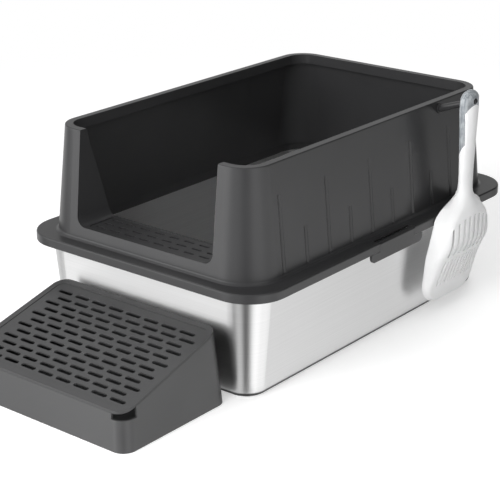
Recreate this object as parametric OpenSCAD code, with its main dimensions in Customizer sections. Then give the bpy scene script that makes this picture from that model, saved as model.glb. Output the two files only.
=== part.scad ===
// High-sided open-top litter box: a drawn steel pan, a clip-on plastic surround with a
// cut-out entrance, two side latches, a hanging scoop and a free-standing perforated step.
// Millimetres, +Z up, the entrance faces -Y. The origin is the middle of the pan's base.

/* [Pan] */
// Width of the pan's flat base, across the box
pan_w = 336; // [300:1:360]
// Length of the pan's flat base, from entrance to back
pan_l = 539; // [500:1:560]
// Height of the pan to the top of its rolled rim
pan_h = 150.7; // [120:0.1:190]
// Radius of the pan's upright corners at the base
pan_corner_r = 28; // [22:0.5:34]
// Outward lean of the pan's walls, mm per mm of height
pan_lean = 0.088; // [0.05:0.002:0.1]
// Thickness of the steel
pan_t = 1; // [0.8:0.1:1.5]
// Radius of the bend between base and walls
pan_bend_r = 8; // [5:0.5:12]
// Outer radius of the rolled rim
roll_r = 4.5; // [3.5:0.1:5]

/* [Enclosure] */
// Outer width of the surround at its top edge
top_w = 331; // [320:1:338]
// Outer length of the surround at its top edge
top_l = 531; // [520:1:538]
// Height of the surround's top edge above the floor
top_z = 299; // [270:1:340]
// Corner radius of the surround at its top edge
top_corner_r = 37.5; // [34:0.5:40]
// Outward lean of the surround's walls, mm per mm of height
wall_lean = 0.094; // [0.07:0.002:0.1]
// Thickness of the surround's walls
wall_t = 3; // [2.5:0.1:3.5]
// Width of the turned-in top edge
rim_w = 11; // [9:0.5:13]
// Height of the turned-in lip under the top edge
rim_h = 14; // [10:0.5:20]
// Radius of the fillet between wall and flange
foot_fillet = 5; // [2:0.5:7]

/* [Flange] */
// Outer width of the flange that covers the pan's rim
flange_w = 405; // [401:1:412]
// Outer length of the flange
flange_l = 600; // [598:1:608]
// Corner radius of the flange
flange_corner_r = 54; // [48:0.5:60]
// Height of the flange's skirt
skirt_h = 12; // [11.5:0.1:14]
// Thickness of the flange and its skirt
flange_t = 2.5; // [2:0.1:3]
// Depth of the locating lip inside the pan
lip_h = 12; // [6:0.5:18]

/* [Entrance] */
// Width of the entrance
door_w = 231; // [200:1:236]
// Height of the sill above the flange
sill_rise = 18.5; // [16:0.5:26]
// Radius of the entrance's lower corners
door_corner_r = 14; // [8:0.5:18]
// How far the platform reaches in from the wall's foot
platform_l = 61; // [58:1:75]
// Thickness of the entrance's cheeks and platform
cheek_t = 3; // [2.5:0.1:4]

/* [Entry grid] */
// Width of the grid panel
egrid_w = 206; // [190:1:208]
// Length of the grid panel
egrid_l = 50; // [46:0.5:50.5]
// Thickness of the grid panel
egrid_t = 3; // [2:0.1:3.4]
// Depth of the panel below the sill
egrid_drop = 1; // [0.5:0.1:1.5]
// Slots in a row
egrid_cols = 8; // [4:1:8]
// Rows of slots
egrid_rows = 3; // [1:1:3]
// Spacing of the slots along a row
egrid_pitch_x = 25.2; // [22:0.1:25.6]
// Spacing of the rows
egrid_pitch_y = 15; // [10:0.5:15]
// Length of a slot
egrid_slot_l = 16.5; // [10:0.5:18]
// Width of a slot
egrid_slot_w = 4.5; // [3:0.1:6]

/* [Grooves] */
// Grooves on each side wall
groove_n = 10; // [2:2:10]
// Spacing of the grooves
groove_pitch = 47.8; // [20:0.1:48]
// Width of a groove
groove_w = 7; // [3:0.5:10]
// Depth of a groove
groove_depth = 1.3; // [0.5:0.1:1.6]
// Height of the grooves' lower ends above the flange
groove_rise = 4.5; // [1:0.5:10]
// Height of a tall groove
groove_tall = 101; // [40:1:110]
// Height of a short groove
groove_short = 49; // [20:1:60]

/* [Latches] */
// Width of the tab under the flange
latch_w = 120; // [96:1:140]
// Width of the knuckle that shows in the flange's edge
knuckle_w = 82; // [40:1:84]
// Depth of the tab below the skirt
tab_drop = 12.4; // [11:0.1:18]
// Thickness of the latch
latch_t = 3; // [2.5:0.1:3.2]
// Radius of the tab's lower corners
tab_corner_r = 8; // [3:0.5:10]
// Radius of the knuckle
knuckle_r = 3.2; // [2.8:0.1:3.3]
// Radius of the latch pin
latch_pin_r = 1.5; // [1.2:0.1:1.6]
// Length of pin held in the flange at each end
pin_grip = 8; // [5:0.5:12]

/* [Scoop] */
// Distance of the scoop's middle behind the middle of the box
scoop_y = 148.5; // [130:0.5:165]
// Overall width of the scoop's blade
blade_w = 132; // [118:1:136]
// Height of the blade's lip above the floor
blade_z = 21; // [8:0.5:24]
// Height of the shoulders where the blade meets the handle
neck_z = 178.5; // [170:0.5:185]
// Height of the handle's top end
handle_z = 322.5; // [312:0.5:330]
// Width of the handle
handle_w = 40; // [30:1:42]
// Thickness of the handle at its top
handle_t = 19; // [16:1:20]
// Wall of the scoop's blade
blade_t = 2.5; // [2:0.1:3]
// Slots across the blade
blade_slots = 8; // [4:1:8]
// Width of a blade slot
blade_slot_w = 6; // [3:0.5:6.5]
// Spacing of the blade slots
blade_pitch = 12.2; // [10:0.1:12.5]
// Narrow slots in the blade's lower row
vent_n = 11; // [5:1:11]
// Spacing of the narrow slots
vent_pitch = 8.6; // [7:0.1:9]
// Depth of the blade, from its back to its open side, at its deepest
blade_d = 28; // [20:1:32]
// Radius of the hole in the handle
hang_hole_r = 4; // [3.6:0.1:5]
// Radius of the peg that the scoop hangs on
peg_r = 3; // [2.5:0.1:3.2]
// Upward tilt of the peg in degrees
peg_tilt = 20; // [15:1:22]

/* [Step] */
// Width of the step at the floor
step_w = 291; // [260:1:300]
// Depth of the step at the floor
step_l = 188; // [170:1:200]
// Gap between the step's back and the pan's base, at the floor
step_gap = 14; // [10:1:60]
// Height of the step's front edge
step_front_h = 51; // [45:1:70]
// Height of the step's back edge
step_back_h = 99; // [85:1:115]
// Corner radius of the step
step_corner_r = 18; // [12:0.5:24]
// Inward lean of the step's walls, mm per mm of height
step_lean = 0.1; // [0.02:0.01:0.12]
// Inward lean of the step's back wall, mm per mm of height
step_back_lean = 0.06; // [0.02:0.01:0.12]
// Thickness of the step's walls
step_t = 3; // [2:0.1:4]
// Thickness of the lift-off lid
lid_t = 3; // [2.5:0.1:5]
// Width of the ledge that carries the lid
ledge_w = 6; // [4:0.5:8]
// Slots in a row of the lid
lid_cols = 8; // [4:1:8]
// Rows of slots in the lid
lid_rows = 12; // [4:1:12]
// Spacing of the lid's slots along a row
lid_pitch_x = 30; // [27:0.5:30]
// Spacing of the lid's rows
lid_pitch_y = 12.75; // [10:0.05:12.8]
// Sideways shift of every other row
lid_stagger = 10; // [0:1:10]
// Length of a lid slot
lid_slot_l = 24; // [16:0.5:25]
// Width of a lid slot
lid_slot_w = 6; // [4:0.1:7]
// Width of the lid's raised border
border_w = 8.5; // [4:0.5:9]
// Height of the lid's raised border
border_h = 0.8; // [0.4:0.1:1.2]
// Length of the finger notch along the step's front
notch_x = 28; // [20:1:40]
// Length of the finger notch along the step's side
notch_y = 22; // [20:1:40]
// Height of the finger notch
notch_h = 8; // [6:0.5:12]
// Radius of a rubber foot
foot_r = 8; // [5:0.5:10]
// Thickness of a rubber foot
foot_t = 2; // [1.2:0.1:2.5]

/* [Hidden] */
$fn = 72;

// Working clearances
rest_gap = 0.3;      // between a moving piece and the face it rests on
fit_gap = 0.25;      // round a drop-in panel
swing_gap = 0.5;     // between a latch and the flange it swings in
pin_gap = 0.05;      // between the latch pin and its knuckle

// Pan
pan_cx = pan_w / 2 - pan_corner_r;
pan_cy = pan_l / 2 - pan_corner_r;
roll_z = pan_h - roll_r;
roll_d = pan_corner_r + pan_lean * roll_z - pan_t + roll_r;
roll_x = pan_cx + roll_d + roll_r;
bend_n = 6;          // flats in the bend between base and wall
roll_n = 18;         // flats round the rolled rim
roll_sweep = 270;    // how far round the rim is rolled, in degrees

// Enclosure
top_cx = top_w / 2 - top_corner_r;
top_cy = top_l / 2 - top_corner_r;
flange_z = pan_h + rest_gap + flange_t;
plate_z = flange_z - flange_t;
skirt_z = flange_z - skirt_h;
wall_angle = atan(wall_lean);
edge_r = 1.6;        // rounding of the top edge
flange_edge_r = 2;   // rounding of the flange's edge
fillet_n = 5;        // flats in a rounded edge
over = 5;            // how far a cutting shape passes a face
bond = 0.5;          // how far joined shapes reach into each other
lip_gap = 1;         // between the locating lip and the pan's wall
groove_end = 0.6;    // how far a groove's cutter stands out of the wall

// Entrance
sill_z = flange_z + sill_rise;
door_y = -(top_cy + wall_d(flange_z));
platform_y = door_y + platform_l;
cheek_y = -(top_l / 2 - rim_w);
platform_border = 2; // between the grid's seat and the platform's back edge
egrid_r = 6;         // corner radius of the grid panel
egrid_ledge = 4;     // width of the ledge under the panel
egrid_floor = 2;     // thickness of that ledge
egrid_y = platform_y - platform_border - egrid_l / 2;

// Latches
pin_in = 2.4;        // from the latch's inner face to the pin
pin_drop = 3.5;      // from the flange's top to the pin
pin_x = flange_w / 2 - latch_t - pin_in;
pin_z = flange_z - pin_drop;
tab_z = skirt_z - tab_drop;
notch_w = knuckle_w + 2 * swing_gap;
pin_l = notch_w + 2 * pin_grip;
boss_r = 3.2;        // half the height of the block that holds a pin's end
boss_end = 1.5;      // how far that block reaches past the pin
notch_back = 6.2;    // how far the flange's notch reaches behind the pin
latch_bevel = 1.8;
wing_drop = 1.3;     // slope on the tab's upper edge
catch_t = 2.2;       // thickness of the catch on the tab
catch_drop = 2.3;    // from the skirt's lower edge to the catch
catch_z = skirt_z - catch_drop;
catch_end = 10;      // how far the catch stops short of the tab's sides

// Scoop
scoop_gap = 0.9;     // between the blade's shoulders and the flange's skirt
shoulder_x = flange_w / 2 + scoop_gap;
blade_out = 22.6;    // from the shoulders to the blade's back
handle_out = 10;     // from the shoulders to the middle of the handle
blade_x = shoulder_x + blade_out;
handle_x = shoulder_x + handle_out;
hang_x = handle_x + handle_t / 2;
hang_z = handle_z - 14;
hang_drop = hang_hole_r - peg_r - rest_gap;
lip_r = 32;          // radius of the blade's lower corners
lip_in = 31;         // how far the lip lies behind the top of the blade
blade_bend = 13;     // rounding between the blade's back and its sides
bend_steps = 5;
section_gap = 6;     // spacing of the sections between neck and lower corners
lip_rows = 6;        // sections down the lower corners
hollow_z = neck_z - 25;
roof_h = 14;         // over this height the hollow grows to its full depth
neck_blend = 15;     // half the height over which the handle turns into the blade
lip_depth = 1;       // depth of the hollow at the lip
slot_top_z = 147;    // top of the middle slots
slot_arch = 14;      // how much lower the outer slots end
slot_foot_z = 93;    // lower end of the upper slots
vent_top_z = 87;     // the lower row of slots
vent_foot_z = 46;
vent_w = 2.6;
crown = 3;           // how far the blade's back bulges in the middle
dome_h = 15;         // height of the handle's rounded top
grip_z = handle_z - 99; // lower end of the soft grip, on the back
grip_slant = 25;     // how much higher the grip ends at the tongue
tongue_x = handle_x + handle_t * 0.24;
tongue_z = handle_z - 20;
hook_plug = 2;       // how deep the hook's plug sits in the wall
hook_plug_r = 4;
hook_disc_r = 7;
hook_disc_t = 2.5;
arm_r = 5.5;         // the hook's arm, at its root and at its shoulder
shoulder_r = 4.5;
shoulder_gap = 1;    // between the arm's shoulder and the handle
peg_out = 1;         // how far the peg stands out of the handle's hole
hook_low = 11;       // about how far the hook's foot lies below the top edge
hook_reach = hang_x - top_cx - wall_d(top_z - hook_low);
hook_z = hang_z - hook_reach * tan(peg_tilt);

// Step
step_front = -(pan_l / 2 + step_gap + step_l);
step_back = step_front + step_l;
lid_front = step_front + step_lean * step_front_h;
lid_back = step_back - step_back_lean * step_back_h;
lid_angle = atan((step_back_h - step_front_h) / (lid_back - lid_front));
lid_first_row = 18;  // from the lid's front edge to the first row of slots
rib_t = 2;           // rib under the lid that keeps it in place
rib_h = 5;
rib_gap = 1;
ledge_t = 3;
foot_sink = 1.2;     // how deep a rubber foot sits in the base
base_z = foot_t - foot_sink;
foot_in = 24;        // from the step's sides to a foot's middle
step_h_max = step_back_h + 20;

// Distance from the enclosure's corner centre to its outer face at height z
function wall_d(z) = top_corner_r + wall_lean * (top_z - z);

// Points round an arc, from angle a to angle b
function arc(x, z, r, a, b, n) = [for (i = [0:n])
    [x + r * cos(a + (b - a) * i / n), z + r * sin(a + (b - a) * i / n)]];

function reverse(p) = [for (i = [len(p) - 1:-1:0]) p[i]];

// Carries a profile, drawn in distance from the corner centre and height, round a
// rectangle of half-sizes cx and cy with round corners
module round_box_sweep(cx, cy) {
    for (c = [[1, 1, 0], [-1, 1, 90], [-1, -1, 180], [1, -1, 270]])
        translate([c[0] * cx, c[1] * cy, 0]) rotate([0, 0, c[2]])
            rotate_extrude(angle = 90) children();
    for (a = [0, 180])
        rotate([0, 0, a]) translate([cx, cy, 0]) rotate([90, 0, 0])
            linear_extrude(height = 2 * cy) children();
    for (a = [90, 270])
        rotate([0, 0, a]) translate([cy, cx, 0]) rotate([90, 0, 0])
            linear_extrude(height = 2 * cx) children();
}

// The same, filled in the middle from z0 to z1
module round_box(cx, cy, z0, z1) {
    round_box_sweep(cx, cy) children();
    translate([-cx, -cy, z0]) cube([2 * cx, 2 * cy, z1 - z0]);
}

// Flat panel with round corners, its top at z = 0
module panel(w, l, t, r) {
    translate([-w / 2 + r, -l / 2, -t]) cube([w - 2 * r, l, t]);
    translate([-w / 2, -l / 2 + r, -t]) cube([w, l - 2 * r, t]);
    for (x = [-1, 1], y = [-1, 1])
        translate([x * (w / 2 - r), y * (l / 2 - r), -t]) cylinder(h = t, r = r);
}

// Slot with round ends along X, cut from z = -t to z = t
module slot(l, w, t) {
    translate([-(l - w) / 2, -w / 2, -t]) cube([l - w, w, 2 * t]);
    for (x = [-1, 1])
        translate([x * (l - w) / 2, 0, -t]) cylinder(h = 2 * t, r = w / 2, $fn = 24);
}

// Rows of slots from the origin along Y, centred across it; every other row is shifted by stagger
module slot_field(cols, rows, px, py, l, w, t, stagger) {
    for (j = [0:rows - 1], i = [0:cols - 1])
        translate([(i - (cols - 1) / 2) * px + (j % 2 == 0 ? stagger : 0), j * py, 0])
            slot(l, w, t);
}

// ---- Pan ----

module pan_profile() {
    wall_foot = pan_corner_r + pan_lean * pan_bend_r;
    outer = concat([[0, 0]], arc(wall_foot - pan_bend_r, pan_bend_r, pan_bend_r, -90, 0, bend_n));
    roll_out = arc(roll_d, roll_z, roll_r, 180, 180 - roll_sweep, roll_n);
    roll_in = arc(roll_d, roll_z, roll_r - pan_t, 180 - roll_sweep, 180, roll_n);
    inner = concat(arc(wall_foot - pan_bend_r, pan_bend_r, pan_bend_r - pan_t, 0, -90, bend_n),
        [[0, pan_t]]);
    polygon(concat(outer, reverse(roll_in), reverse(roll_out), inner));
}

module pan() {
    color("gainsboro") round_box(pan_cx, pan_cy, 0, pan_t) pan_profile();
}

// ---- Enclosure ----

module wall_profile() {
    foot = wall_d(flange_z);
    polygon(concat([[0, plate_z], [foot + foot_fillet, plate_z]],
        arc(foot + foot_fillet, flange_z + foot_fillet, foot_fillet, 270, 180 - wall_angle, fillet_n),
        arc(top_corner_r - edge_r, top_z - edge_r, edge_r, 0, 90, fillet_n),
        [[0, top_z]]));
}

module flange_profile() {
    r = flange_corner_r;
    polygon(concat([[0, plate_z], [r - flange_t, plate_z], [r - flange_t, skirt_z], [r, skirt_z]],
        arc(r - flange_edge_r, flange_z - flange_edge_r, flange_edge_r, 0, 90, fillet_n),
        [[0, flange_z]]));
}

// The space inside the walls, with the groove behind the turned-in lip
module interior_profile() {
    lip = top_corner_r - rim_w;
    polygon([[0, plate_z - bond], [wall_d(plate_z - bond) - wall_t, plate_z - bond],
        [wall_d(top_z - wall_t) - wall_t, top_z - wall_t], [lip + wall_t, top_z - wall_t],
        [lip + wall_t, top_z - rim_h], [lip, top_z - rim_h], [lip, top_z + over],
        [0, top_z + over]]);
}

module lip_profile() {
    far = pan_corner_r + pan_lean * plate_z - pan_t - lip_gap;
    near = far - pan_lean * lip_h;
    polygon([[near - flange_t, plate_z - lip_h], [near, plate_z - lip_h],
        [far, plate_z + bond], [far - flange_t, plate_z + bond]]);
}

// The entrance's outline, grown by grow, from y0 to y1
module door_prism(grow, y0, y1) {
    w = door_w / 2 + grow;
    r = door_corner_r + grow;
    foot = sill_z - grow;
    translate([-w, y0, foot + r]) cube([2 * w, y1 - y0, top_z + over - foot - r]);
    translate([-(w - r), y0, foot]) cube([2 * (w - r), y1 - y0, r + 1]);
    for (x = [-1, 1])
        translate([x * (w - r), y1, foot + r]) rotate([90, 0, 0]) cylinder(h = y1 - y0, r = r);
}

// Cheeks and platform: the entrance's outline, cut to a slanting inner edge
module door_frame() {
    foot = sill_z - cheek_t;
    in_wall = wall_t / 2;
    intersection() {
        door_prism(cheek_t, door_y - over, platform_y + over);
        translate([-flange_w / 2, 0, 0]) rotate([90, 0, 90]) linear_extrude(height = flange_w)
            polygon([[-top_cy - wall_d(foot) + in_wall, foot], [platform_y, foot],
                [platform_y, sill_z + door_corner_r], [cheek_y, top_z],
                [-top_l / 2 + in_wall, top_z]]);
    }
    seat_t = egrid_drop + egrid_t + egrid_floor;
    seat_w = egrid_w + 2 * egrid_ledge;
    seat_front = -top_cy - wall_d(sill_z) + in_wall;
    translate([-seat_w / 2, seat_front, sill_z - seat_t])
        cube([seat_w, platform_y - seat_front, seat_t]);
}

// Pocket and drop-through opening for the entry grid
module grid_seat() {
    seat_deep = egrid_drop + egrid_t + egrid_floor + over;
    translate([0, egrid_y, sill_z + over])
        panel(egrid_w + 2 * fit_gap, egrid_l + 2 * fit_gap, over + egrid_drop + egrid_t,
            egrid_r + fit_gap);
    translate([0, egrid_y, sill_z])
        panel(egrid_w - 2 * egrid_ledge, egrid_l - 2 * egrid_ledge, seat_deep, egrid_r);
}

// A shallow V groove in the right-hand wall, its lower end at height z
module groove(y, z, h) {
    translate([top_cx + wall_d(z), y, z]) rotate([0, -wall_angle, 0])
        linear_extrude(height = h)
            polygon([[groove_end, -groove_w / 2], [0, -groove_w / 2], [-groove_depth, 0],
                [0, groove_w / 2], [groove_end, groove_w / 2]]);
}

module side_grooves() {
    for (i = [0:groove_n - 1])
        groove((i - (groove_n - 1) / 2) * groove_pitch, flange_z + groove_rise,
            i % 2 == 0 ? groove_tall : groove_short);
}

// Blocks under the flange that hold the ends of the right-hand latch pin
module pin_bosses() {
    l = pin_grip + boss_end;
    for (s = [-1, 1])
        translate([pin_x - boss_r, s * (notch_w / 2 + l / 2) - l / 2, pin_z - boss_r])
            cube([flange_w / 2 - flange_t / 2 - pin_x + boss_r, l, plate_z + bond - pin_z + boss_r]);
}

module latch_notch() {
    back = pin_x - notch_back;
    translate([back, -notch_w / 2, skirt_z - over])
        cube([over + flange_w / 2 - back, notch_w, skirt_h + 2 * over]);
    translate([pin_x, pin_l / 2, pin_z]) rotate([90, 0, 0]) cylinder(h = pin_l, r = latch_pin_r);
}

module hook_socket() {
    hook_place() translate([0, 0, -hook_plug]) cylinder(h = hook_plug + over, r = hook_plug_r);
}

module enclosure() {
    color("dimgray") difference() {
        union() {
            difference() {
                union() {
                    round_box(top_cx, top_cy, plate_z, top_z) wall_profile();
                    round_box(flange_w / 2 - flange_corner_r, flange_l / 2 - flange_corner_r,
                        plate_z, flange_z) flange_profile();
                }
                round_box(top_cx, top_cy, plate_z - bond, top_z + over) interior_profile();
            }
            round_box_sweep(pan_cx, pan_cy) lip_profile();
            door_frame();
            pin_bosses();
            mirror([1, 0, 0]) pin_bosses();
        }
        door_prism(0, door_y - 2 * over, platform_y + over);
        grid_seat();
        side_grooves();
        mirror([1, 0, 0]) side_grooves();
        latch_notch();
        mirror([1, 0, 0]) latch_notch();
        hook_socket();
    }
}

module entry_grid() {
    color("dimgray") translate([0, egrid_y, sill_z - egrid_drop]) difference() {
        panel(egrid_w, egrid_l, egrid_t, egrid_r);
        translate([0, -(egrid_rows - 1) / 2 * egrid_pitch_y, 0])
            slot_field(egrid_cols, egrid_rows, egrid_pitch_x, egrid_pitch_y, egrid_slot_l,
                egrid_slot_w, egrid_t + 1, 0);
    }
}

// ---- Latches ----

module latch_right() {
    out = flange_w / 2 - pin_x;
    in = out - latch_t;
    skirt = skirt_z - pin_z - swing_gap;
    tab = tab_z - pin_z;
    catch = catch_z - pin_z - catch_t;
    reach = roll_x + swing_gap - pin_x;
    wing = skirt - wing_drop;
    face = knuckle_r - 0.4;
    color("dimgray") translate([pin_x, 0, pin_z]) difference() {
        union() {
            rotate([90, 0, 0]) translate([0, 0, -knuckle_w / 2])
                cylinder(h = knuckle_w, r = knuckle_r);
            rotate([90, 0, 0]) translate([0, 0, -knuckle_w / 2]) linear_extrude(height = knuckle_w)
                polygon([[0, face], [out - latch_bevel, face], [out, face - latch_bevel],
                    [out, wing - bond], [in, wing - bond], [in, 0], [0, 0]]);
            rotate([90, 0, 0]) translate([0, 0, -latch_w / 2]) linear_extrude(height = latch_w)
                polygon([[in, wing], [out, skirt], [out, tab], [in, tab]]);
            translate([reach, -latch_w / 2 + catch_end, catch])
                cube([in + bond - reach, latch_w - 2 * catch_end, catch_t]);
        }
        rotate([90, 0, 0]) cylinder(h = knuckle_w + 2, r = latch_pin_r + pin_gap, center = true);
        for (s = [-1, 1])
            translate([0, s * (latch_w / 2 - tab_corner_r), tab + tab_corner_r]) difference() {
                translate([in - 1, s > 0 ? 0 : -2 * tab_corner_r, -2 * tab_corner_r])
                    cube([latch_t + 2, 2 * tab_corner_r, 2 * tab_corner_r]);
                rotate([0, 90, 0]) cylinder(h = 4 * out, r = tab_corner_r, center = true);
            }
    }
}

module latch_left() {
    mirror([1, 0, 0]) latch_right();
}

module latch_pin_right() {
    color("silver") translate([pin_x, pin_l / 2, pin_z]) rotate([90, 0, 0])
        cylinder(h = pin_l, r = latch_pin_r);
}

module latch_pin_left() {
    mirror([1, 0, 0]) latch_pin_right();
}

// ---- Scoop ----

// Square to the wall where the hook sits
module hook_place() {
    translate([top_cx + wall_d(hook_z), scoop_y, hook_z]) rotate([0, 90 - wall_angle, 0]) children();
}

// Along the peg, starting at the wall
module peg_place() {
    translate([top_cx + wall_d(hook_z), scoop_y, hook_z]) rotate([0, 90 - peg_tilt, 0]) children();
}

module scoop_hook() {
    arm = (hook_reach - handle_t - shoulder_gap) / cos(peg_tilt);
    peg = (hook_reach + peg_out) / cos(peg_tilt);
    color("dimgray") {
        hook_place() translate([0, 0, -hook_plug])
            cylinder(h = hook_plug + hook_disc_t / 2, r = hook_plug_r);
        hook_place() cylinder(h = hook_disc_t, r = hook_disc_r);
        difference() {
            peg_place() translate([0, 0, -over]) cylinder(h = arm + over, r1 = arm_r, r2 = shoulder_r);
            hook_place() translate([0, 0, -2 * over]) cylinder(h = 2 * over, r = 2 * hook_disc_r);
        }
        peg_place() translate([0, 0, arm - bond]) cylinder(h = peg - arm + bond, r = peg_r);
    }
}

// A table's value at z, averaged over a little height so that its corners are rounded
function smooth(z, table) = (lookup(z - 6, table) + 2 * lookup(z, table) + lookup(z + 6, table)) / 4;

// The blade's back and its open side, seen from the side
function blade_back(z) = smooth(z, [[blade_z, blade_x - lip_in], [vent_foot_z, blade_x - 26.5],
    [vent_top_z, blade_x - 12.5], [slot_foot_z + 8, blade_x - 4.5], [slot_foot_z + 20, blade_x - 1],
    [neck_z - 20, blade_x], [neck_z, handle_x + 9]]);

function blade_mouth(z) = let(x = lookup(z, [[blade_z, blade_x - lip_in - blade_t],
    [blade_z + 25, blade_x - blade_d - 7], [slot_foot_z, blade_x - blade_d - 3.5],
    [skirt_z - 1.2, shoulder_x], [neck_z - 14, shoulder_x + 1], [neck_z, handle_x - 7]]))
    min(x, blade_back(z) - blade_t - lip_depth);

// How far the back bulges at height z
function bulge(z) = lookup(z, [[blade_z, 0.4], [vent_foot_z, crown], [neck_z - 20, crown], [neck_z, 0]]);

// Half the blade's width at its back, and at its open side
function lip_corner(z) = z > blade_z + lip_r ? 0 :
    lip_r - sqrt(max(pow(lip_r, 2) - pow(lip_r - z + blade_z, 2), 0));

function back_half(z) = smooth(z, [[slot_foot_z, blade_w * 0.466], [slot_top_z - 14, blade_w * 0.417],
    [slot_top_z, blade_w * 0.349], [neck_z - 15, blade_w * 0.205], [neck_z - 5, handle_w * 0.4],
    [neck_z + 10, handle_w * 0.36]]) - lip_corner(z);

function mouth_half(z) = smooth(z, [[blade_z + lip_r, blade_w * 0.5], [slot_foot_z + 8, blade_w * 0.48],
    [slot_top_z - 5, blade_w * 0.466], [neck_z - 30, blade_w * 0.466], [neck_z - 22, blade_w * 0.41],
    [neck_z - 14, blade_w * 0.27], [neck_z - 5, handle_w * 0.42], [neck_z + 10, handle_w * 0.36]])
    - lip_corner(z);

// Outline of the blade at height z, moved in by t, from one edge of its open side to the other
function blade_path(z, t) = let(
    h = back_half(z) - t, m = mouth_half(z) - t, x = blade_mouth(z), back = blade_back(z) - t,
    r = min(blade_bend - t, back - x - lip_depth / 2))
    concat([[x, -m]], arc(back - r, -h + r, r, -90, 0, bend_steps),
        [for (u = [-0.6, 0, 0.6]) [back + bulge(z) * (1 - u * u), u * (h - r)]],
        arc(back - r, h - r, r, 0, 90, bend_steps), [[x, m]]);

// How deep the blade is hollowed at height z, from none at 0 to its full depth at 1
function hollow(z) = min(max((hollow_z - z) / roof_h, 0), 1);

function blade_ring(z) = let(x = blade_mouth(z), inner = reverse(blade_path(z, blade_t)))
    concat(blade_path(z, 0), [for (p = inner) [x + hollow(z) * (p[0] - x), p[1]]]);

// Directions of the same points round the handle
function ring_angles() = let(side = 100 / bend_steps, hollow_n = 2 * bend_steps + 7) concat([225],
    [for (i = [0:bend_steps]) 245 + i * side], [352, 0, 8], [for (i = [0:bend_steps]) 15 + i * side],
    [135], [for (i = [0:hollow_n - 1]) 140 + 80 * i / (hollow_n - 1)]);

function handle_ring(z) = [for (a = ring_angles())
    [handle_x + handle_thick(z) * cos(a), handle_half(z) * sin(a)]];

// How much of the outline at height z is blade
function blade_part(z) = let(s = min(max((neck_z + neck_blend - z) / (2 * neck_blend), 0), 1))
    s * s * (3 - 2 * s);

function scoop_ring(z) = (1 - blade_part(z)) * handle_ring(z)
    + blade_part(z) * blade_ring(z);

// Heights of the sections from z0 down to the lip
function blade_heights(z0) = let(n = ceil((z0 - blade_z - lip_r) / section_gap)) concat(
    [for (i = [0:n - 1]) z0 + (blade_z + lip_r - z0) * i / n],
    [for (i = [0:lip_rows]) blade_z + lip_r * (1 - sin(78 * i / lip_rows) / sin(78))]);

function raised(ring, z) = [for (p = ring) [p[0], p[1], z]];

function quad(a, b, c, d) = [[a, b, c], [a, c, d]];

// Skin over a stack of rings that run from top to bottom, each ring out and back round a U
module loft(rings) {
    n = len(rings[0]);
    last = (len(rings) - 1) * n;
    polyhedron(
        points = [for (ring = rings, p = ring) p],
        faces = [
            for (i = [0:n / 2 - 2]) each quad(n - 1 - i, n - 2 - i, i + 1, i),
            for (j = [0:n:last - n], i = [0:n - 1])
                each quad(j + i, j + (i + 1) % n, j + n + (i + 1) % n, j + n + i),
            for (i = [0:n / 2 - 2])
                each quad(last + i, last + i + 1, last + n - 2 - i, last + n - 1 - i)
        ]
    );
}

module scoop_solid() {
    dome_heights = [for (i = [0:4]) handle_z - dome_h * (1 - cos(18 * i))];
    grip_heights = [for (i = [1:3]) handle_z - dome_h - 2 * section_gap * i];
    heights = concat(dome_heights, grip_heights, [neck_z + 85, neck_z + 55, neck_z + 30],
        blade_heights(neck_z + neck_blend));
    loft([for (z = heights) raised(scoop_ring(z), z)]);
}

// One upright slot through the blade, at y, from z0 to z1
module blade_slot(y, z0, z1, w) {
    translate([blade_x, y, (z0 + z1) / 2]) rotate([0, 90, 0]) slot(z1 - z0, w, blade_d + over);
}

module blade_slots() {
    for (i = [0:blade_slots - 1]) {
        y = (i - (blade_slots - 1) / 2) * blade_pitch;
        blade_slot(y, slot_foot_z, slot_top_z - slot_arch * pow(2.8 * y / blade_w, 2), blade_slot_w);
    }
    for (i = [0:vent_n - 1])
        blade_slot((i - (vent_n - 1) / 2) * vent_pitch, vent_foot_z, vent_top_z, vent_w);
}

// Half the handle's width and thickness at height z
function dome(z) = z < handle_z - dome_h ? 1 :
    sqrt(max(1 - pow((z - handle_z + dome_h) / dome_h, 2), 0.02));

function handle_half(z) = dome(z) * handle_w * lookup(z, [[neck_z + 30, 0.39], [neck_z + 85, 0.455],
    [handle_z - 30, 0.5]]);

function handle_thick(z) = dome(z) * handle_t * lookup(z, [[neck_z + 30, 0.38],
    [neck_z + 85, 0.455], [handle_z - 30, 0.5]]);

// The hard tongue on the handle's front, with an arched top
module tongue() {
    arch = handle_w / 2;
    translate([tongue_x, -handle_w, blade_z]) cube([handle_t, 2 * handle_w, tongue_z - arch - blade_z]);
    translate([tongue_x, 0, tongue_z - arch]) rotate([0, 90, 0]) cylinder(h = handle_t, r = arch);
}

// Where the soft grip covers the handle: its top and its back, with a slanting lower end
module grip_zone() {
    back = handle_x - handle_t / 2;
    drop = over * grip_slant / (tongue_x - back);
    front = tongue_x + handle_t;
    difference() {
        translate([0, handle_w, 0]) rotate([90, 0, 0]) linear_extrude(height = 2 * handle_w)
            polygon([[back - over, grip_z - drop], [tongue_x, grip_z + grip_slant],
                [front, grip_z + grip_slant], [front, handle_z + over], [back - over, handle_z + over]]);
        tongue();
    }
}

module hang_hole() {
    peg_place() translate([hang_drop, 0, 0]) cylinder(h = 2 * hook_reach, r = hang_hole_r);
}

module scoop_blade() {
    color("white") difference() {
        translate([0, scoop_y, 0]) difference() {
            scoop_solid();
            blade_slots();
            grip_zone();
        }
        hang_hole();
    }
}

module scoop_grip() {
    color("slategray") difference() {
        translate([0, scoop_y, 0]) intersection() {
            scoop_solid();
            grip_zone();
        }
        hang_hole();
    }
}

// ---- Step ----

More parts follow.
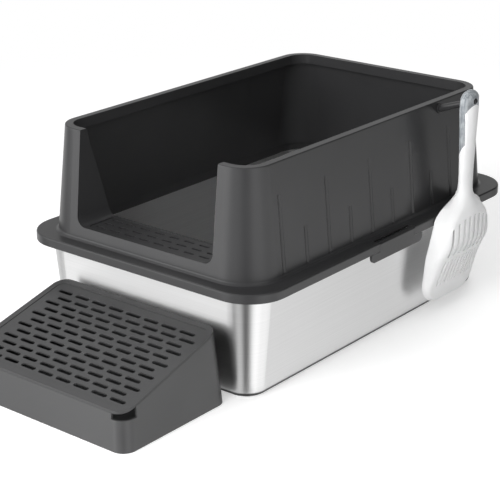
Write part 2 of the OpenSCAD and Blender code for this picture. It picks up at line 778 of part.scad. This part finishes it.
// Leaning block of the step, moved in by t, from z0 to z1
module step_block(t, z0, z1) {
    r = max(step_corner_r - t, 2);
    hull() for (z = [z0, z1]) {
        x = step_w / 2 - step_lean * z - t - r;
        for (s = [-1, 1]) {
            translate([s * x, step_front + step_lean * z + t + r, z]) cylinder(h = 0.01, r = r);
            translate([s * x, step_back - step_back_lean * z - t - r, z]) cylinder(h = 0.01, r = r);
        }
    }
}

// Along the lid: x across, y up the slope, z = 0 on its top face
module lid_place() {
    translate([0, lid_front, step_front_h]) rotate([lid_angle, 0, 0]) children();
}

// Everything between two depths below the lid's top face
module lid_slab(deep, shallow) {
    lid_place() translate([-step_w, -step_l / 2, -deep])
        cube([2 * step_w, 2 * step_l, deep - shallow]);
}

module finger_notch() {
    floor_z = step_front_h - lid_t - notch_h;
    front = lid_front;
    side = step_w / 2 - step_lean * step_front_h;
    translate([side - notch_x + step_corner_r / 2, front - over, floor_z])
        cube([notch_x, notch_y + over, step_h_max]);
}

module step_base() {
    top = lid_t + rest_gap;
    color("gray") difference() {
        intersection() {
            step_block(0, base_z, step_h_max);
            lid_slab(step_l, top);
        }
        intersection() {
            step_block(step_t, base_z + step_t, step_h_max);
            lid_slab(step_l, top + ledge_t);
        }
        step_block(step_t + ledge_w, base_z + step_t, step_h_max);
        finger_notch();
        feet();
    }
}

module step_lid() {
    rib_in = step_t + ledge_w + rib_gap;
    color("gray") difference() {
        union() {
            intersection() {
                step_block(0, base_z, step_h_max);
                lid_slab(lid_t, 0);
            }
            intersection() {
                difference() {
                    step_block(rib_in, base_z, step_h_max);
                    step_block(rib_in + rib_t, base_z, step_h_max);
                }
                lid_slab(lid_t + rib_h, lid_t - bond);
            }
        }
        intersection() {
            step_block(border_w, base_z, step_h_max);
            lid_slab(border_h, -over);
        }
        lid_place() translate([0, lid_first_row, 0])
            slot_field(lid_cols, lid_rows, lid_pitch_x, lid_pitch_y, lid_slot_l, lid_slot_w,
                lid_t + 1, lid_stagger);
    }
}

// One rubber foot; x and y say which corner
module foot(x, y) {
    translate([x * (step_w / 2 - foot_in), (step_front + step_back) / 2 + y * (step_l / 2 - foot_in), 0])
        cylinder(h = foot_t, r = foot_r);
}

module feet() {
    for (x = [-1, 1], y = [-1, 1]) foot(x, y);
}

module step_foot_fr() {
    color("black") foot(1, -1);
}

module step_foot_fl() {
    color("black") foot(-1, -1);
}

module step_foot_br() {
    color("black") foot(1, 1);
}

module step_foot_bl() {
    color("black") foot(-1, 1);
}

pan();
enclosure();
entry_grid();
latch_right();
latch_left();
latch_pin_right();
latch_pin_left();
scoop_hook();
scoop_blade();
scoop_grip();
step_base();
step_lid();
step_foot_fr();
step_foot_fl();
step_foot_br();
step_foot_bl();
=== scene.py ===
"""High-sided litter box: finishes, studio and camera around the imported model.

Metres, in the model's own frame: the origin is the middle of the pan's base on the floor, +Z is
up, the entrance faces -Y and the scoop hangs on the +X side. Angles are in degrees, and an
azimuth is 0 towards -Y and 90 towards +X.
"""

import math

import bmesh
import bpy
from mathutils import Matrix, Vector


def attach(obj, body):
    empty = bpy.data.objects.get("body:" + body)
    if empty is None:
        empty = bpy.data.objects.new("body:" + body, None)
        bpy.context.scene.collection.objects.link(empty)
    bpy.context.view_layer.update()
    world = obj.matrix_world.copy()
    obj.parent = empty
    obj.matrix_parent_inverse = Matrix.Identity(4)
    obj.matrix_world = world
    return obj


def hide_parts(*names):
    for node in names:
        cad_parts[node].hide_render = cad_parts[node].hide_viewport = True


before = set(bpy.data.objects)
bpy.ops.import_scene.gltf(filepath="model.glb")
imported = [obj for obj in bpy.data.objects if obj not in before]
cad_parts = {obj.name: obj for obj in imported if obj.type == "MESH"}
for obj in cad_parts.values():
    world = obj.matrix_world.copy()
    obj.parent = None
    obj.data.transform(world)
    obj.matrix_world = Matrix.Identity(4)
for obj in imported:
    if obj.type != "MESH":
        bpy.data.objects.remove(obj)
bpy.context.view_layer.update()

# Camera, from the outline of the object in the photograph
VIEW_AZIMUTH = 38.903
VIEW_ELEVATION = 20.621
CAMERA_PLACE = (1.247, -1.606, 0.849)
SENSOR_MM = 36.0
LENS_MM = 110.38

# Colours of the finishes, in linear light
BOX_GREY = (0.03, 0.03, 0.031)
STEP_GREY = (0.05, 0.05, 0.051)
TREAD_GREY = (0.043, 0.043, 0.044)
SCOOP_WHITE = (0.89, 0.892, 0.895)
GRIP_DARK = (0.2, 0.219, 0.236)
GRIP_LIGHT = (0.42, 0.443, 0.462)
FOOT_BLACK = (0.02, 0.02, 0.02)
STEEL_DARK = (0.73, 0.73, 0.73)
STEEL_LIGHT = (0.79, 0.79, 0.79)
# The dark colour of the line in the bend at the pan's foot is painted shade
BEND_PAINTED_SHADE = (0.08, 0.08, 0.08)
PIN_DARK = (0.5, 0.5, 0.52)
PIN_LIGHT = (0.64, 0.64, 0.66)

# Scales of the noises in waves for each metre: one number, or one each along X, Y and Z
PLASTIC_CLOUDS = 9.0
PLASTIC_SHEEN = 14.0
PLASTIC_GRAIN = 1900.0
PLASTIC_RIPPLES = 24.0
WALL_LINES = (3.0, 3.0, 1700.0)
BASE_LINES = (1700.0, 3.0, 3.0)
STEEL_WEAR = 14.0
STEEL_RIPPLES = 7.0
PIN_LINES = (2500.0, 6.0, 2500.0)
GRIP_STREAKS = (620.0, 620.0, 26.0)
GRIP_CLOUDS = 85.0
RUBBER_CLOUDS = 45.0
RUBBER_PEBBLES = 1500.0
# Most of a noise lies between these two levels
NOISE_LOW = 0.3
NOISE_HIGH = 0.7

# How far a roughness goes below and above its given level
SHEEN_BELOW = 0.015
SHEEN_ABOVE = 0.025
STEEL_SPREAD = 0.02
RUBBER_SPREAD = 0.05
# Shares of coarse noise that go on top of the fine one
WEAR_SHARE = 0.5
GRIP_CLOUD_SHARE = 0.55

# Steel: the smear turns a quarter from the tangent. The lines run round the walls, where the
# normal's Z is within WALL_LEVEL, and along the base, where it is past BASE_LEVEL
STEEL_ROUGHNESS = 0.42
STEEL_SMEAR = 0.85
QUARTER_TURN = 0.25
LENGTHWISE = (0, 1, 0)
WALL_LEVEL = 0.6
BASE_LEVEL = 0.9

# Heights of the painted dark line of shade in the bend between the pan's walls and base
BEND_START = 0.0018
BEND_FULL_FROM = 0.0028
BEND_FULL_TO = 0.0056
BEND_END = 0.0074

# Smooth shading of the lofted scoop
WELD = 1e-5
CREASE = 32.0

# Floor: its size, its lift of light to the camera, and where it fades to plain white
FLOOR_SIZE = 24.0
FLOOR_COLOUR = (0.82, 0.82, 0.82)
FLOOR_LIFT = 0.35
FADE_NEAR = 0.7
FADE_FAR = 1.6
# Gloss sees the floor up to the first distance past the pan's foot, and nothing of it past the
# second; the foot is what the pan has within a slice above the floor
CONTACT_NEAR = 0.006
CONTACT_FAR = 0.022
FOOT_SLICE = 0.0001

# World: the level that lights the object, and the level that gloss sees, which falls to the share
# ROOM_LIGHT where the ray's direction rises to ROOM_HEIGHT
WORLD_LIGHT = 0.34
MIRROR_LIGHT = 0.92
ROOM_LIGHT = 0.38
ROOM_HEIGHT = 0.4
WHITE = (1, 1, 1)
# Upright stretches of the world that gloss sees: azimuth, half width, change of level. The
# comments say where the photograph's view finds them mirrored
STRETCHES = (
    (43, 26, -0.78),  # dark band on the front right corner
    (72, 28, 0.75),  # bright band beside it
    (114, 40, 0.4),  # right walls, near that corner
    (166, 28, -0.6),  # back right corner
    (-60, 24, -0.6),  # front left corner
)
# Soft boxes that gloss sees: azimuth, elevation, half width, change of level
SOFT_BOXES = (
    (-43, 16, 34, 2.35),  # front wall of the pan
    (-28, -14, 22, 1.4),  # fronts of the plastics
    (141, 26, 44, -0.8),  # right walls, kept down from above
    (141, -38, 34, 0.5),  # right walls, lit from below
    (240, 60, 34, 1.2),  # step's lid and rounded top edges
    (0, -90, 40, -0.9),  # dark ground
)
# Share of a stretch's or soft box's half width that has the full change
SOFT_CORE = 0.3

# What the lamps look at
BOX_MIDDLE = (0, 0, 0.15)
FRONT_CORNER = (0.1, -0.2, 0.12)


def direction(azimuth, elevation):
    """Unit vector towards that azimuth and elevation."""
    a, e = math.radians(azimuth), math.radians(elevation)
    return Vector((math.sin(a) * math.cos(e), -math.cos(a) * math.cos(e), math.sin(e)))


def opaque(colour):
    """The colour with the alpha that a socket needs."""
    return (*colour, 1)


def new_object(name, data):
    """An object in the scene that shows the data."""
    piece = bpy.data.objects.new(name, data)
    bpy.context.scene.collection.objects.link(piece)
    return piece


# ---------------------------------------------------------------- node helpers


def fill(tree, node, inputs):
    """Sets each input of the node to a value, or links it to another node's output."""
    for name, value in inputs.items():
        if isinstance(value, bpy.types.NodeSocket):
            tree.links.new(value, node.inputs[name])
        else:
            node.inputs[name].default_value = value


def add(tree, kind, inputs=None, **settings):
    """Adds a node with these settings and inputs."""
    node = tree.nodes.new(kind)
    for name, value in settings.items():
        setattr(node, name, value)
    fill(tree, node, inputs or {})
    return node


def maths(tree, operation, *terms):
    """The result of an operation on numbers and outputs."""
    return add(tree, "ShaderNodeMath", dict(enumerate(terms)), operation=operation).outputs[0]


def vector_maths(tree, operation, *terms):
    """The node of an operation on vectors."""
    return add(tree, "ShaderNodeVectorMath", dict(enumerate(terms)), operation=operation)


def mix(tree, share, first, second, data_type="FLOAT"):
    """first where the share is 0, and second where it is 1."""
    inputs = {"Factor": share, "A": first, "B": second}
    return add(tree, "ShaderNodeMix", inputs, data_type=data_type).outputs["Result"]


def mix_shaders(tree, share, first, second):
    """The first shader where the share is 0, and the second where it is 1."""
    return add(tree, "ShaderNodeMixShader", {0: share, 1: first, 2: second}).outputs[0]


def object_place(tree):
    """Object coordinates, which are the model's own at rest."""
    return add(tree, "ShaderNodeTexCoord").outputs["Object"]


def split(tree, vector):
    """The outputs X, Y and Z of a vector."""
    return add(tree, "ShaderNodeSeparateXYZ", {"Vector": vector}).outputs


def noise(tree, scale, detail=3.0, roughness=0.5):
    """Noise from 0 to 1 in object coordinates."""
    each = scale if isinstance(scale, tuple) else (scale, scale, scale)
    vector = add(tree, "ShaderNodeMapping", {"Vector": object_place(tree), "Scale": each})
    inputs = {"Vector": vector.outputs[0], "Scale": 1.0, "Detail": detail, "Roughness": roughness}
    return add(tree, "ShaderNodeTexNoise", inputs).outputs["Fac"]


def remap(tree, value, low, high, start=NOISE_LOW, end=NOISE_HIGH, curve="LINEAR"):
    """value, where start becomes low and end becomes high."""
    inputs = {"Value": value, "From Min": start, "From Max": end, "To Min": low, "To Max": high}
    return add(tree, "ShaderNodeMapRange", inputs, interpolation_type=curve).outputs["Result"]


def tint(tree, value, dark, light):
    """A colour between dark and light."""
    ramp = add(tree, "ShaderNodeValToRGB", {"Fac": value})
    stops = ramp.color_ramp.elements
    for stop, place, colour in zip(stops, (NOISE_LOW, NOISE_HIGH), (dark, light)):
        stop.position = place
        stop.color = opaque(colour)
    return ramp.outputs["Color"]


def clouded(tree, clouds, colour, darkest, lightest):
    """The colour, times shares from darkest to lightest as the clouds go."""
    dark = tuple(channel * darkest for channel in colour)
    light = tuple(channel * lightest for channel in colour)
    return tint(tree, clouds, dark, light)


def bump(tree, height, strength, depth, over=None):
    """A normal bumped by that height, over another normal where one is given."""
    inputs = {"Height": height, "Strength": strength, "Distance": depth}
    if over:
        inputs["Normal"] = over
    return add(tree, "ShaderNodeBump", inputs).outputs["Normal"]


# ---------------------------------------------------------------- materials


def new_material(name):
    """A material with a Principled shader. Returns (material, tree, shader node)."""
    material = bpy.data.materials.new(name)
    material.use_nodes = True
    tree = material.node_tree
    return material, tree, tree.nodes["Principled BSDF"]


def moulded_plastic(name, colour, roughness, grain=0.04, gloss=0.36):
    """Satin moulded plastic: a fine even grain, and faint clouds in its colour and its sheen."""
    material, tree, shader = new_material(name)
    clouds = noise(tree, PLASTIC_CLOUDS)
    sheen = noise(tree, PLASTIC_SHEEN)
    fine = bump(tree, noise(tree, PLASTIC_GRAIN, detail=1.0), strength=grain, depth=0.0001)
    ripples = noise(tree, PLASTIC_RIPPLES, detail=0.0)
    fill(tree, shader, {
        "Specular IOR Level": gloss,
        "Base Color": clouded(tree, clouds, colour, darkest=0.93, lightest=1.07),
        "Roughness": remap(tree, sheen, roughness - SHEEN_BELOW, roughness + SHEEN_ABOVE),
        "Normal": bump(tree, ripples, strength=0.03, depth=0.001, over=fine),
    })
    return material


def base_share(tree):
    """0 on the pan's walls and 1 on its base."""
    normal = add(tree, "ShaderNodeNewGeometry").outputs["Normal"]
    level = maths(tree, "ABSOLUTE", split(tree, normal)["Z"])
    return remap(tree, level, 0.0, 1.0, WALL_LEVEL, BASE_LEVEL, "SMOOTHSTEP")


def painted_bend_shade(tree):
    """1 in a narrow line of painted shade in the bend at the foot of the pan's walls, and 0
    elsewhere.
    """
    height = split(tree, object_place(tree))["Z"]
    above = remap(tree, height, 0.0, 1.0, BEND_START, BEND_FULL_FROM)
    below = remap(tree, height, 1.0, 0.0, BEND_FULL_TO, BEND_END)
    return maths(tree, "MULTIPLY", above, below)


def drawn_steel(name):
    """Drawn stainless steel: fine lines along the walls that smear what it mirrors up and down,
    and a painted dark line of shade in the bend at their foot."""
    material, tree, shader = new_material(name)
    base = base_share(tree)
    walls_noise = noise(tree, WALL_LINES, detail=2.0)
    base_noise = noise(tree, BASE_LINES, detail=2.0)
    lines = mix(tree, base, walls_noise, base_noise)
    around = add(tree, "ShaderNodeTangent", direction_type="RADIAL", axis="Z").outputs["Tangent"]
    colour = tint(tree, lines, STEEL_DARK, STEEL_LIGHT)
    worn = maths(tree, "MULTIPLY_ADD", noise(tree, STEEL_WEAR, detail=4.0), WEAR_SHARE, lines)
    smooth, rough = STEEL_ROUGHNESS - STEEL_SPREAD, STEEL_ROUGHNESS + STEEL_SPREAD
    fine = bump(tree, lines, strength=0.025, depth=0.00005)
    ripples = noise(tree, STEEL_RIPPLES, detail=1.0)
    fill(tree, shader, {
        "Metallic": 1.0,
        "Anisotropic": STEEL_SMEAR,
        "Anisotropic Rotation": QUARTER_TURN,
        "Tangent": mix(tree, base, around, LENGTHWISE, "VECTOR"),
        # Painted shade: a dark line in the bend at the foot of the walls
        "Base Color": mix(tree, painted_bend_shade(tree), colour, opaque(BEND_PAINTED_SHADE), "RGBA"),
        "Roughness": remap(tree, worn, smooth, rough, start=0.5, end=1.0),
        "Normal": bump(tree, ripples, strength=0.04, depth=0.002, over=fine),
    })
    return material


def pin_steel(name):
    """Ground steel of the latch pins."""
    material, tree, shader = new_material(name)
    lines = noise(tree, PIN_LINES, detail=2.0)
    fill(tree, shader, {
        "Metallic": 1.0,
        "Base Color": tint(tree, lines, PIN_DARK, PIN_LIGHT),
        "Roughness": remap(tree, lines, low=0.25, high=0.4),
    })
    return material


def soft_rubber(name, colour, roughness):
    """Matte rubber with a fine pebbled skin."""
    material, tree, shader = new_material(name)
    clouds = noise(tree, RUBBER_CLOUDS, detail=4.0)
    pebbles = noise(tree, RUBBER_PEBBLES, detail=2.0)
    fill(tree, shader, {
        "Specular IOR Level": 0.35,
        "Base Color": clouded(tree, clouds, colour, darkest=0.9, lightest=1.08),
        "Roughness": remap(tree, clouds, roughness - RUBBER_SPREAD, roughness + RUBBER_SPREAD),
        "Normal": bump(tree, pebbles, strength=0.2, depth=0.0001),
    })
    return material


def streaked_rubber(name, dark, light):
    """Soft silver-grey rubber of the scoop's grip: fine streaks along the handle over clouds."""
    material, tree, shader = new_material(name)
    streaks = noise(tree, GRIP_STREAKS, detail=3.0, roughness=0.65)
    clouds = noise(tree, GRIP_CLOUDS, detail=4.0, roughness=0.6)
    both = maths(tree, "MULTIPLY_ADD", clouds, GRIP_CLOUD_SHARE, streaks)
    shade = remap(tree, both, 0.0, 1.0, start=0.5, end=1.05)
    fill(tree, shader, {
        "Specular IOR Level": 0.4,
        "Base Color": tint(tree, shade, dark, light),
        "Roughness": remap(tree, streaks, low=0.38, high=0.5),
        "Normal": bump(tree, streaks, strength=0.15, depth=0.0001),
    })
    return material


def paint(node, material):
    """Gives a CAD node its finish."""
    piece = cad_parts[node]
    piece.data.materials.clear()
    piece.data.materials.append(material)


def smooth_skin(node, body, material):
    """A copy of a lofted node whose facets are joined and shaded smooth, in the node's place."""
    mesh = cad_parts[node].data.copy()
    shell = bmesh.new()
    shell.from_mesh(mesh)
    bmesh.ops.remove_doubles(shell, verts=shell.verts, dist=WELD)
    for face in shell.faces:
        face.smooth = True
    shell.to_mesh(mesh)
    shell.free()
    mesh.set_sharp_from_angle(angle=math.radians(CREASE))
    mesh.materials.clear()
    mesh.materials.append(material)
    piece = new_object(node + "_skin", mesh)
    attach(piece, body)
    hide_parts(node)


def dress():
    """Gives every piece its finish."""
    grey = moulded_plastic("grey_plastic", BOX_GREY, roughness=0.3)
    for node in ("enclosure", "entry_grid", "latch_right", "latch_left", "scoop_hook"):
        paint(node, grey)
    paint("pan", drawn_steel("drawn_steel"))
    pins = pin_steel("pin_steel")
    for side in ("right", "left"):
        paint("latch_pin_" + side, pins)
    white = moulded_plastic("white_plastic", SCOOP_WHITE, roughness=0.34, grain=0.03, gloss=0.3)
    grip = streaked_rubber("grip_rubber", GRIP_DARK, GRIP_LIGHT)
    smooth_skin("scoop_blade", "scoop", white)
    smooth_skin("scoop_grip", "scoop", grip)
    paint("step_base", moulded_plastic("step_plastic", STEP_GREY, roughness=0.31))
    paint("step_lid", moulded_plastic("tread_plastic", TREAD_GREY, roughness=0.46))
    feet = soft_rubber("foot_rubber", FOOT_BLACK, roughness=0.7)
    for corner in ("fr", "fl", "br", "bl"):
        paint("step_foot_" + corner, feet)


# ---------------------------------------------------------------- studio


def pan_foot():
    """Half the width and half the length of the pan where it stands on the floor."""
    foot = [v.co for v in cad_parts["pan"].data.vertices if v.co.z < FOOT_SLICE]
    return (max(abs(place.x) for place in foot), max(abs(place.y) for place in foot), 0)


def past_contact(tree, place):
    """0 on the floor beside the pan's foot, and 1 further out."""
    folded = vector_maths(tree, "ABSOLUTE", place).outputs[0]
    beside = split(tree, vector_maths(tree, "SUBTRACT", folded, pan_foot()).outputs[0])
    past = maths(tree, "MAXIMUM", beside["X"], beside["Y"])
    return remap(tree, past, 0.0, 1.0, CONTACT_NEAR, CONTACT_FAR)


def floor_material():
    """White floor: it keeps the shadow near the object and fades to plain white further out.
    Gloss sees its shadow close to the pan, and looks through it at the world elsewhere."""
    material = bpy.data.materials.new("studio_floor")
    material.use_nodes = True
    tree = material.node_tree
    tree.nodes.clear()
    ray = add(tree, "ShaderNodeLightPath").outputs
    place = object_place(tree)
    matt = add(tree, "ShaderNodeBsdfDiffuse", {"Color": opaque(FLOOR_COLOUR)}).outputs[0]
    lift = maths(tree, "MULTIPLY", ray["Is Camera Ray"], FLOOR_LIFT)
    glow = add(tree, "ShaderNodeEmission", {"Strength": lift}).outputs[0]
    near = add(tree, "ShaderNodeAddShader", {0: matt, 1: glow}).outputs[0]
    plain = add(tree, "ShaderNodeEmission", {"Strength": 1.0}).outputs[0]
    away = vector_maths(tree, "LENGTH", place).outputs["Value"]
    far = remap(tree, away, 0.0, 1.0, FADE_NEAR, FADE_FAR, "SMOOTHSTEP")
    seen_far = maths(tree, "MULTIPLY", far, ray["Is Camera Ray"])
    lit = mix_shaders(tree, seen_far, near, plain)
    see_through = maths(tree, "MULTIPLY", ray["Is Glossy Ray"], past_contact(tree, place))
    clear = add(tree, "ShaderNodeBsdfTransparent").outputs[0]
    surface = mix_shaders(tree, see_through, lit, clear)
    add(tree, "ShaderNodeOutputMaterial", {"Surface": surface})
    return material


def make_floor():
    """The studio's floor, level with the pan's base."""
    half = FLOOR_SIZE / 2
    corners = [(-half, -half, 0), (half, -half, 0), (half, half, 0), (-half, half, 0)]
    mesh = bpy.data.meshes.new("floor")
    mesh.from_pydata(corners, [], [(0, 1, 2, 3)])
    mesh.materials.append(floor_material())
    floor = new_object("floor", mesh)


def changed(tree, level, vector, towards, half_width, change):
    """level, with the change added where the vector is within half_width of that direction."""
    near = vector_maths(tree, "DOT_PRODUCT", vector, towards).outputs["Value"]
    edge = math.cos(math.radians(half_width))
    core = math.cos(math.radians(half_width * SOFT_CORE))
    shade = remap(tree, near, 0.0, change, edge, core, "SMOOTHSTEP")
    return maths(tree, "ADD", level, shade)


def mirrored_studio(tree):
    """The level of the studio that gloss sees."""
    ray = add(tree, "ShaderNodeTexCoord").outputs["Generated"]
    flat = vector_maths(tree, "MULTIPLY", ray, (1, 1, 0)).outputs[0]
    heading = vector_maths(tree, "NORMALIZE", flat).outputs[0]
    level = MIRROR_LIGHT
    for azimuth, half_width, change in STRETCHES:
        level = changed(tree, level, heading, direction(azimuth, 0), half_width, change)
    height = split(tree, ray)["Z"]
    dimming = remap(tree, height, 1.0, ROOM_LIGHT, 0.0, ROOM_HEIGHT, "SMOOTHSTEP")
    level = maths(tree, "MULTIPLY", level, dimming)
    for azimuth, elevation, half_width, change in SOFT_BOXES:
        level = changed(tree, level, ray, direction(azimuth, elevation), half_width, change)
    return maths(tree, "MAXIMUM", level, 0.0)


def make_world():
    """White to the camera, plain soft light on the object, and a studio that gloss sees."""
    world = bpy.data.worlds.new("studio")
    bpy.context.scene.world = world
    world.use_nodes = True
    tree = world.node_tree
    tree.nodes.clear()
    ray = add(tree, "ShaderNodeLightPath").outputs
    on_object = mix(tree, ray["Is Glossy Ray"], WORLD_LIGHT, mirrored_studio(tree))
    level = mix(tree, ray["Is Camera Ray"], on_object, 1.0)
    sky = add(tree, "ShaderNodeBackground", {"Color": opaque(WHITE), "Strength": level}).outputs[0]
    add(tree, "ShaderNodeOutputWorld", {"Surface": sky})


def area_light(name, azimuth, elevation, distance, size, power, target=BOX_MIDDLE):
    """A soft square lamp, seen from the origin at that place, that isn't mirrored."""
    lamp = bpy.data.lights.new(name, "AREA")
    lamp.size = size
    lamp.energy = power
    piece = new_object(name, lamp)
    piece.location = direction(azimuth, elevation) * distance
    away = piece.location - Vector(target)
    piece.rotation_euler = away.to_track_quat("Z", "Y").to_euler()
    piece.visible_glossy = False


def make_lamps():
    """Lamps at a plain level: most of the light comes from the front."""
    area_light("key", azimuth=-6, elevation=26, distance=3.2, size=2.4, power=108)
    area_light("side", azimuth=36, elevation=22, distance=1.1, size=0.9, power=4.3,
               target=FRONT_CORNER)
    area_light("top", azimuth=20, elevation=82, distance=3.0, size=2.2, power=8)
    area_light("back", azimuth=205, elevation=34, distance=3.2, size=2.2, power=30)


def make_camera():
    """The photograph's own view."""
    back = direction(VIEW_AZIMUTH, VIEW_ELEVATION)
    right = direction(VIEW_AZIMUTH + 90, 0)
    turn = Matrix((right, back.cross(right), back)).transposed().to_4x4()
    data = bpy.data.cameras.new("camera")
    data.sensor_width = SENSOR_MM
    data.lens = LENS_MM
    camera = new_object("camera", data)
    camera.matrix_world = Matrix.Translation(CAMERA_PLACE) @ turn
    bpy.context.scene.camera = camera


make_camera()
dress()
make_floor()
make_world()
make_lamps()
bpy.context.scene.view_settings.view_transform = "Standard"
